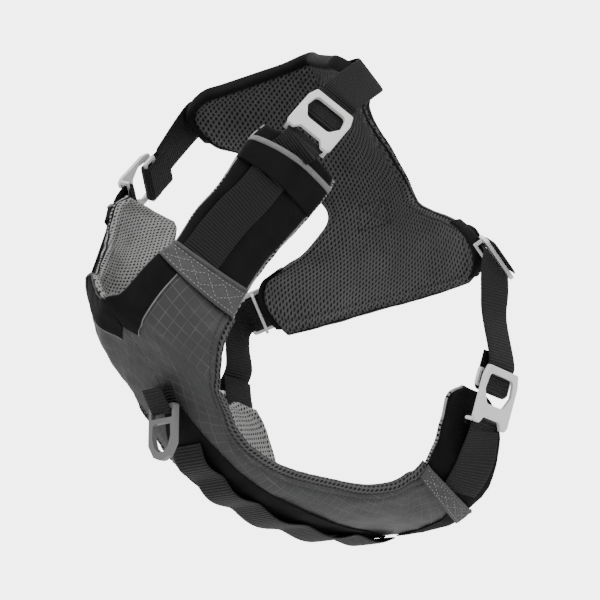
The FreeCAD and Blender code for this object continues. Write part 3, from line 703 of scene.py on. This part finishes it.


# What each cloth is sewn on.
for side, word in ((1, "left"), (-1, "right")):
    shell = "chest_shell_cover_" + word
    upper, rear = "shoulder_pad_cover_" + word, "belly_pad_cover_" + word
    under = {"shoulder_band": [shell, upper], "belly_band": [shell, rear], "shoulder_sleeve": [upper],
             "neck_collar": [shell], "belly_inset": [shell]}
    pieces = (
        ("shoulder_band", laid_over(side, 4.1, 5.0, across_all, full, 2.6, 3.0), 1.0, tape, "grey_band", 14),
        ("belly_band", laid_over(side, 21.2, 22.1, across_all, full, 2.6, 3.0), 1.0, tape, "grey_band", 14),
        ("shoulder_sleeve", sleeve_point(side), 1.2, knit, "black_knit", 20),
        ("neck_collar", laid_over(side, 5.02, 8.98, across_all, collar_seam, 1.1, 1.6), 0.9, knit,
         "black_knit", 60),
        ("belly_inset", laid_over(side, 19.4, 21.3, across_all, inset_reach, 1.3, 1.6), 0.8, knit,
         "black_knit", 24),
    )
    for name, place, thick, finish, slot, count in pieces:
        piece = cloth(name + "_cloth_" + word, count, 60, place, thick)
        dress(piece, finish, slot, *([] if name == "belly_inset" else [name + "_" + word]))
        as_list(under[name])
    cords = (
        ("sleeve_piping", 0.98, 1.5, 1.9, 3.6, cord_cover, "piping", ["sleeve_piping_" + word]),
        ("shoulder_band_cord", 4.12, 2.6, 0, 2.4, tape, "grey_band", []),
        ("belly_band_cord", 22.1, 2.6, 0, 2.0, tape, "grey_band", []),
    )
    for name, u, height, over, wide, finish, slot, nodes in cords:
        stations = piping_stations(side, u, height, over)
        cord = ribbon(name + "_edge_" + word, stations, wide, wide * 0.8, 12, 1.0)
        dress(cord, finish, slot, *nodes)

# Centre of the chest. A black knit panel, pointed at both ends, covers the seam between the two
# sides, and 25 mm webbing is tacked along it in short loops that stand up between the tacks.


def strip_reach(u):
    return curve([(r,) for r in (0.10, 0.34, 0.50, 0.52, 0.50, 0.44, 0.32, 0.18, 0.06)], u - 11.0)[0]


def centre_panel_point(s, t, height):
    u = 11.0 + 8.0 * s
    side = 1 if t >= 0.5 else -1
    v = abs(t - 0.5) * 2.0 * strip_reach(u)
    p = surface(SIDE_ROWS, u, v, side)
    return p + outward(SIDE_ROWS, u, v, side) * (1.5 + dimple(p, 8.0, 0.4) + height)


centre = cloth("chest_centre_panel", 100, 40, centre_panel_point, 0.9)
dress(centre, knit, "black_knit", "centre_strip")

loop_points = []
for k in range(49):
    u = 12.4 + 6.5 * k / 48.0
    lift = 2.4 + 3.4 * abs(math.sin(math.pi * 5.0 * k / 48.0)) ** 1.4
    p = at(SIDE_ROWS, u, 0.0, 1, lift)
    loop_points.append(Vector((0, p.y, p.z)))
loops = ribbon("sternum_loop_webbing", framed(loop_points, [Vector((1, 0, 0))] * 49), WEB, WEB_T)
dress(loops, web, "webbing", "sternum_webbing")

# Stitching. Polyester thread, 0.5 mm thick with stitches of about 2 mm: a top-stitch round the leg
# edge, an overlock over the cut edge, boxes with crosses on the grey bands, and boxes through the
# back panel where the handle is tacked.


def thread_finish(name, base, light):
    """Polyester sewing thread: two twisted plies, slightly glossy."""
    material, tree, shader = finish_of(name, 0.5, 1.5)
    place = add(tree, "ShaderNodeTexCoord").outputs["Object"]
    twist = add(tree, "ShaderNodeTexNoise", {"Vector": place, "Scale": 1500.0, "Detail": 1.0})
    tint = mixed(tree, twist.outputs["Fac"], linear(base), linear(light))
    tree.links.new(tint, shader.inputs["Base Color"])
    bumped(tree, shader, twist.outputs["Fac"], 0.3, 0.0002)
    return material


dark_thread = thread_finish("dark_sewing_thread", "#060606", "#161617")
grey_thread = thread_finish("grey_sewing_thread", "#6f6f70", "#8f8f90")


def sewn(name, seams, thread, slot):
    """One piece that holds many stitches; a seam is (points, normals, pitch, length, thickness, turned)."""
    bm = bmesh.new()
    for points, normals, pitch, length, thick, turned in seams:
        run = 0.0
        due = pitch / 2.0
        for a, b, n in zip(points, points[1:], normals):
            step = (b - a).length
            while run + step > due and step > 0.0:
                p = a.lerp(b, (due - run) / step)
                along = (b - a).normalized()
                if turned:
                    along = n.cross(along).normalized()
                side = n.cross(along).normalized()
                made = bmesh.ops.create_icosphere(bm, subdivisions=1, radius=0.5)
                for vert in made["verts"]:
                    c = vert.co
                    vert.co = (p + along * (c.x * length) + side * (c.y * thick) + n * (c.z * thick)) * MM
                due += pitch
            run += step
    mesh = bpy.data.meshes.new(name)
    bm.to_mesh(mesh)
    bm.free()
    mesh.polygons.foreach_set("use_smooth", [True] * len(mesh.polygons))
    piece = bpy.data.objects.new(name, mesh)
    bpy.context.collection.objects.link(piece)
    dress(piece, thread, slot)


def on_cloth(place, path):
    """Points and normals of a seam that follows (s, t) stations on a cloth's own surface."""
    points = [place(s, t, 0.15) for s, t in path]
    normals = [(place(s, t, 1.15) - p).normalized() for (s, t), p in zip(path, points)]
    return points, normals


def straight(a, b, count=12):
    return [(a[0] + (b[0] - a[0]) * k / count, a[1] + (b[1] - a[1]) * k / count) for k in range(count + 1)]


for side, word in ((1, "left"), (-1, "right")):
    place = chest_shell_point(side)
    edge_path = []
    for k in range(161):
        u = SHELL_FROM + SHELL_LONG * k / 160.0
        across = (surface(SIDE_ROWS, u, 1.0, side) - surface(SIDE_ROWS, u, 0.0, side)).length
        edge_path.append((k / 160.0, 1.0 - 5.0 / across))
    seams = [on_cloth(place, edge_path) + (3.0, 2.2, 0.55, False)]
    rim_path = [(k / 320.0, 0.995) for k in range(321)]
    seams.append(on_cloth(place, rim_path) + (1.7, 1.7, 0.4, True))
    for first, last in ((0.02, 4.9), (22.0, 27.98)):
        seams.append(on_cloth(pad_point(side, first, last), [(k / 120.0, 0.99) for k in range(4, 121)])
                     + (1.5, 1.8, 0.4, True))
    sewn("edge_stitching_" + word, seams, dark_thread, "black_knit")
    seams = []
    for place in (laid_over(side, 4.1, 5.0, across_all, full, 2.6, 3.0),
                  laid_over(side, 21.2, 22.1, across_all, full, 2.6, 3.0)):
        for s in (0.16, 0.88):
            seams.append(on_cloth(place, straight((s, 0.03), (s, 0.97), 60)) + (2.6, 1.9, 0.45, False))
        for k in range(4):
            t0, t1 = 0.06 + 0.22 * k, 0.28 + 0.22 * k
            for a, b in (((0.24, t0), (0.8, t1)), ((0.8, t0), (0.24, t1))):
                seams.append(on_cloth(place, straight(a, b)) + (2.4, 1.8, 0.4, False))
    sewn("band_stitching_" + word, seams, grey_thread, "grey_band")
    seam_line = []
    for k in range(60):
        u = 5.03 + 3.94 * k / 59.0
        v = collar_seam(u) + 0.012
        n = outward(SIDE_ROWS, u, v, side)
        along = surface(SIDE_ROWS, u + 0.2, v, side) - surface(SIDE_ROWS, u - 0.2, v, side)
        seam_line.append((at(SIDE_ROWS, u, v, side, 0.8), n.cross(along).normalized(), n))
    fold = ribbon("collar_seam_fold_" + word, seam_line, 0.9, 0.7, 10, 1.0)
    dress(fold, cord_cover, "piping")

seams = []
for u0, u1 in ((1.3, 2.5), (7.9, 9.2)):
    s0, s1 = (u0 - BACK_FROM) / (BACK_TO - BACK_FROM), (u1 - BACK_FROM) / (BACK_TO - BACK_FROM)
    half = 11.0 / (2.0 * (surface(BACK_ROWS, u0, 1.0, 1) - surface(BACK_ROWS, u0, 0.0, 1)).length)
    corners = ((s0, 0.5 - half), (s0, 0.5 + half), (s1, 0.5 + half), (s1, 0.5 - half), (s0, 0.5 - half),
               (s1, 0.5 + half), (s1, 0.5 - half), (s0, 0.5 + half))
    for a, b in zip(corners, corners[1:]):
        seams.append(on_cloth(back_mesh_point, straight(a, b, 16)) + (2.4, 2.1, 0.6, False))
sewn("handle_box_stitching", seams, dark_thread, "black_knit")

# Shoulder and girth straps. 25 mm webbing runs from the back panel to the nest ring behind each
# buckle plate, and a second length comes up from the pad and turns round the plate's bridge.
BAR, TURN = 2.0, 0.75
NEST_N = -BAR / 2.0 - TURN - WEB_T - 0.5
FRONT_N = NEST_N + BAR / 2.0 + TURN + WEB_T / 2.0
BACK_N = NEST_N - BAR / 2.0 - TURN - WEB_T / 2.0
BRIDGE_S = 20.0
SLIDER_N, PLATE_T = 2.1, 2.4


class Seat:
    """Local frame of a buckle: s runs down the strap, w across it, n outward."""

    def __init__(self, centre, down, across, lift, side):
        self.o = Vector((side * centre[0], centre[1], centre[2] + side * lift))
        self.s = Vector((side * down[0], down[1], down[2])).normalized()
        w = Vector((side * across[0], across[1], across[2]))
        self.w = (w - self.s * w.dot(self.s)).normalized()
        self.n = self.s.cross(self.w) * side

    def point(self, s, n, w=0.0):
        return self.o + self.w * w + self.s * s + self.n * n

    def station(self, s, n, angle=90.0):
        a = math.radians(angle)
        return (self.point(s, n), self.w, self.s * math.cos(a) + self.n * math.sin(a))

    def hook(self, s, n, stop):
        """Half turn of webbing round a bar at (s, n)."""
        r = BAR / 2.0 + TURN + WEB_T / 2.0
        out = []
        for k in range(9):
            angle = 90.0 + (stop - 90.0) * k / 8.0
            a = math.radians(angle)
            out.append(self.station(s + r * math.cos(a), n + r * math.sin(a), angle))
        return out


SHOULDER = ((77.5, -89.0, 76.0), (-0.01, -0.67, -0.74), (0.45, 0.66, -0.60), 3.0)
BELLY = ((110.6, 24.5, -62.0), (-0.245, -0.124, -0.96), (0.0, 0.99, -0.13), -8.0)
REAR = ((99.7, 37.4, 14.8), (0.70, -0.586, -0.386), (0.16, 0.67, -0.73), 0.0)


def lying(rows, side, stations, along_u):
    """Points and width directions of webbing on a panel; stations are (u, v, height)."""
    points, widths = [], []
    for u, v, height in stations:
        points.append(at(rows, u, v, side, height))
        if along_u:
            w = surface(rows, u, v + 0.15, side) - surface(rows, u, v - 0.15, side)
        else:
            w = surface(rows, u + 0.7, v, side) - surface(rows, u - 0.7, v, side)
        widths.append(w.normalized())
    return points, widths


def facing(stations, sign):
    return [(p, w, n * sign) for p, w, n in stations]


def shoulder_straps(side):
    k = Seat(*SHOULDER, side)
    run = ((2.2, 0.2, 7.8), (2.2, 0.4, 7.8), (2.1, 0.6, 7.9), (2.0, 0.78, 8.4), (1.9, 0.92, 9.4),
           (1.9, 1.0, 9.9))
    points, widths = lying(BACK_ROWS, side, run, False)
    points += [k.point(s, n) for s, n in ((-26, 0.5), (-19, FRONT_N), (-12, FRONT_N), (-5, FRONT_N))]
    widths[-1] = widths[-1] * 0.5 + k.w * 0.5
    upper = facing(framed(points, widths + [k.w] * 4), -side)
    upper += k.hook(-BAR / 2.0, NEST_N, -90.0) + [k.station(s, BACK_N, -90) for s in (-8, -15, -22)]
    lead = ((4.15, 0.34, 0.8), (3.8, 0.34, 1.1), (3.4, 0.34, 1.3), (2.7, 0.34, 1.3), (2.1, 0.35, 1.3),
            (1.7, 0.36, 1.2), (1.35, 0.37, 1.2), (1.05, 0.38, 1.4), (0.85, 0.39, 3.0))
    points, widths = lying(SIDE_ROWS, side, lead, True)
    points += [k.point(26, FRONT_N), k.point(23, FRONT_N)]
    lower = facing(framed(points, widths + [k.w, k.w]), side)
    lower += k.hook(BRIDGE_S, NEST_N, 270.0) + [k.station(23, BACK_N, 270)]
    return upper, lower


def girth_straps(side):
    r = Seat(*REAR, side)
    k = Seat(*BELLY, side)
    run = ((10.6, 0.35, 8.0), (11.0, 0.52, 8.2), (11.5, 0.68, 8.8), (12.0, 0.82, 9.8))
    points, widths = lying(BACK_ROWS, side, run, False)
    hang = ((109.5, 27.5, 3.0), (109.5, 27.0, -9.0), (108.5, 27.5, -24.0))
    hang = [Vector((side * x, y, z)) for x, y, z in hang]
    points += [r.point(s, 0) for s in (-14, -9, -4, 1, 6, 11)] + hang
    points += [k.point(s, FRONT_N) for s in (-19, -12, -5)]
    widths += [r.w] * 6 + [r.w * 0.6 + k.w * 0.4, r.w * 0.3 + k.w * 0.7] + [k.w] * 4
    upper = facing(framed(points, widths), -side)
    upper += k.hook(-BAR / 2.0, NEST_N, -90.0) + [k.station(s, BACK_N, -90) for s in (-8, -15, -22)]
    tail = [r.station(s, SLIDER_N + PLATE_T + 1.2) for s in (-9, -3, 3, 9, 14)]
    lead = ((22.3, 0.48, 1.2), (22.8, 0.48, 1.4), (23.3, 0.48, 1.6), (23.8, 0.48, 2.0), (24.3, 0.49, 3.2))
    points, widths = lying(SIDE_ROWS, side, lead, True)
    points += [k.point(26, FRONT_N), k.point(23, FRONT_N)]
    lower = facing(framed(points, [w * -1.0 for w in widths] + [k.w, k.w]), side)
    lower += k.hook(BRIDGE_S, NEST_N, 270.0) + [k.station(23, BACK_N, 270)]
    return upper, tail, lower


for side, word in ((1, "left"), (-1, "right")):
    upper, lower = shoulder_straps(side)
    girth, tail, belly = girth_straps(side)
    for name, stations in (("shoulder_strap", upper), ("shoulder_webbing", lower), ("girth_strap", girth),
                           ("girth_tail", tail), ("belly_webbing", belly)):
        strap = ribbon(name + "_web_" + word, stations, WEB, WEB_T)
        dress(strap, web, "webbing", name + "_" + word)

# Ring tabs. 16 mm webbing folds round the top bar of each leash ring and is caught in a seam.
CHEST_PIVOT = Vector((0, -138.2, -88))
BACK_PIVOT = Vector((0, 57.5, 44))


def tab_stations(pivot, away, up):
    r = 2.65 + 0.6
    x = Vector((1, 0, 0))
    out = [(pivot + away * r + up * s, x, away) for s in (13.0, 8.0, 4.0)]
    for k in range(9):
        a = math.radians(90.0 - 180.0 * k / 8.0)
        turn = away * math.sin(a) - up * math.cos(a)
        out.append((pivot + turn * r, x, turn))
    return out + [(pivot - away * r + up * s, x, -away) for s in (4.0, 8.0, 11.0)]


tabs = (("chest_ring_tab", CHEST_PIVOT, Vector((0, -0.835, -0.55)), Vector((0, -0.55, 0.835))),
        ("back_ring_tab", BACK_PIVOT, Vector((0, 1, 0)), Vector((0, 0, 1))))
for name, pivot, away, up in tabs:
    tab = ribbon(name + "_fold", tab_stations(pivot, away, up), 16.0, 1.2)
    dress(tab, web, "webbing", name)

# Buckles, sliders and leash rings. The plates and sliders are cast zinc with a satin silver
# lacquer, and the rings are the same metal with a satin grey one. Tumbling leaves them softly
# rounded, with a faint orange-peel grain.


def lacquer_finish(name, base, light):
    """Lacquered zinc casting: satin paint over metal, with a fine grain and faint handling marks."""
    material, tree, shader = finish_of(name, 0.42, 1.5)
    shader.inputs["Coat Weight"].default_value = 0.15
    shader.inputs["Coat Roughness"].default_value = 0.35
    place = add(tree, "ShaderNodeTexCoord").outputs["Object"]
    grain = add(tree, "ShaderNodeTexNoise", {"Vector": place, "Scale": 1400.0, "Detail": 2.0})
    cloud = add(tree, "ShaderNodeTexNoise", {"Vector": place, "Scale": 90.0, "Detail": 3.0})
    tint = mixed(tree, cloud.outputs["Fac"], linear(base), linear(light))
    tree.links.new(tint, shader.inputs["Base Color"])
    bumped(tree, shader, grain.outputs["Fac"], 0.12, 0.0003)
    return material


silver = lacquer_finish("satin_silver_lacquered_zinc", "#b4b4b3", "#cbcbca")
grey = lacquer_finish("satin_grey_lacquered_zinc", "#4c4c4d", "#626263")
for name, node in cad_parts.items():
    if any(word in name for word in ("buckle", "nest_ring", "slider")):
        node.data.materials.clear()
        node.data.materials.append(silver)
    elif name in ("chest_ring", "back_ring"):
        node.data.materials.clear()
        node.data.materials.append(grey)

# Studio. The harness hangs in the air over a plain pale floor, lit by large soft lamps, and the
# camera looks up at it from the front left.
floor_mesh = bmesh.new()
bmesh.ops.create_grid(floor_mesh, x_segments=2, y_segments=2, size=8.0)
bmesh.ops.translate(floor_mesh, verts=floor_mesh.verts, vec=(0, 0, -0.75))
floor_data = bpy.data.meshes.new("studio_floor")
floor_mesh.to_mesh(floor_data)
floor_mesh.free()
floor = bpy.data.objects.new("studio_floor", floor_data)
bpy.context.collection.objects.link(floor)
paper, paper_tree, paper_shader = finish_of("matt_white_paper", 0.9)
paper_shader.inputs["Base Color"].default_value = linear("#f4f4f4")
floor.data.materials.append(paper)

world = bpy.data.worlds.new("studio")
bpy.context.scene.world = world
world.use_nodes = True
sky = world.node_tree.nodes["Background"]
sky.inputs["Color"].default_value = (1.0, 1.0, 1.0, 1.0)
# The backdrop is brighter to the eye than the light that it sheds on the harness.
ray = add(world.node_tree, "ShaderNodeLightPath")
backdrop = add(world.node_tree, "ShaderNodeMapRange", {"Value": ray.outputs["Is Camera Ray"], "To Min": 1.1,
                                                       "To Max": 5.0})
world.node_tree.links.new(backdrop.outputs[0], sky.inputs["Strength"])


def lamp(name, place, aim, size, power):
    data = bpy.data.lights.new(name, "AREA")
    data.size = size
    data.energy = power
    light = bpy.data.objects.new(name, data)
    light.location = place
    light.rotation_euler = (Vector(aim) - Vector(place)).to_track_quat("-Z", "Y").to_euler()
    bpy.context.collection.objects.link(light)


lamp("key", (0.3, -1.2, 1.3), (0, 0, 0), 0.8, 28.0)
lamp("fill", (1.4, 0.2, 0.5), (0, 0, 0), 1.0, 12.0)
lamp("rim", (-0.9, 0.9, 0.8), (0, 0, 0), 0.8, 12.0)

camera_data = bpy.data.cameras.new("camera")
camera_data.lens = 124.8
camera_data.sensor_width = 36.0
camera_data.clip_start = 0.05
camera_data.shift_x = -0.05
camera = bpy.data.objects.new("camera", camera_data)
back_away = Vector((math.sin(math.radians(43)) * math.cos(math.radians(-14)),
                    -math.cos(math.radians(43)) * math.cos(math.radians(-14)), math.sin(math.radians(-14))))
camera.location = back_away * 1.3
camera.rotation_euler = back_away.to_track_quat("Z", "Y").to_euler()
bpy.context.collection.objects.link(camera)
bpy.context.scene.camera = camera
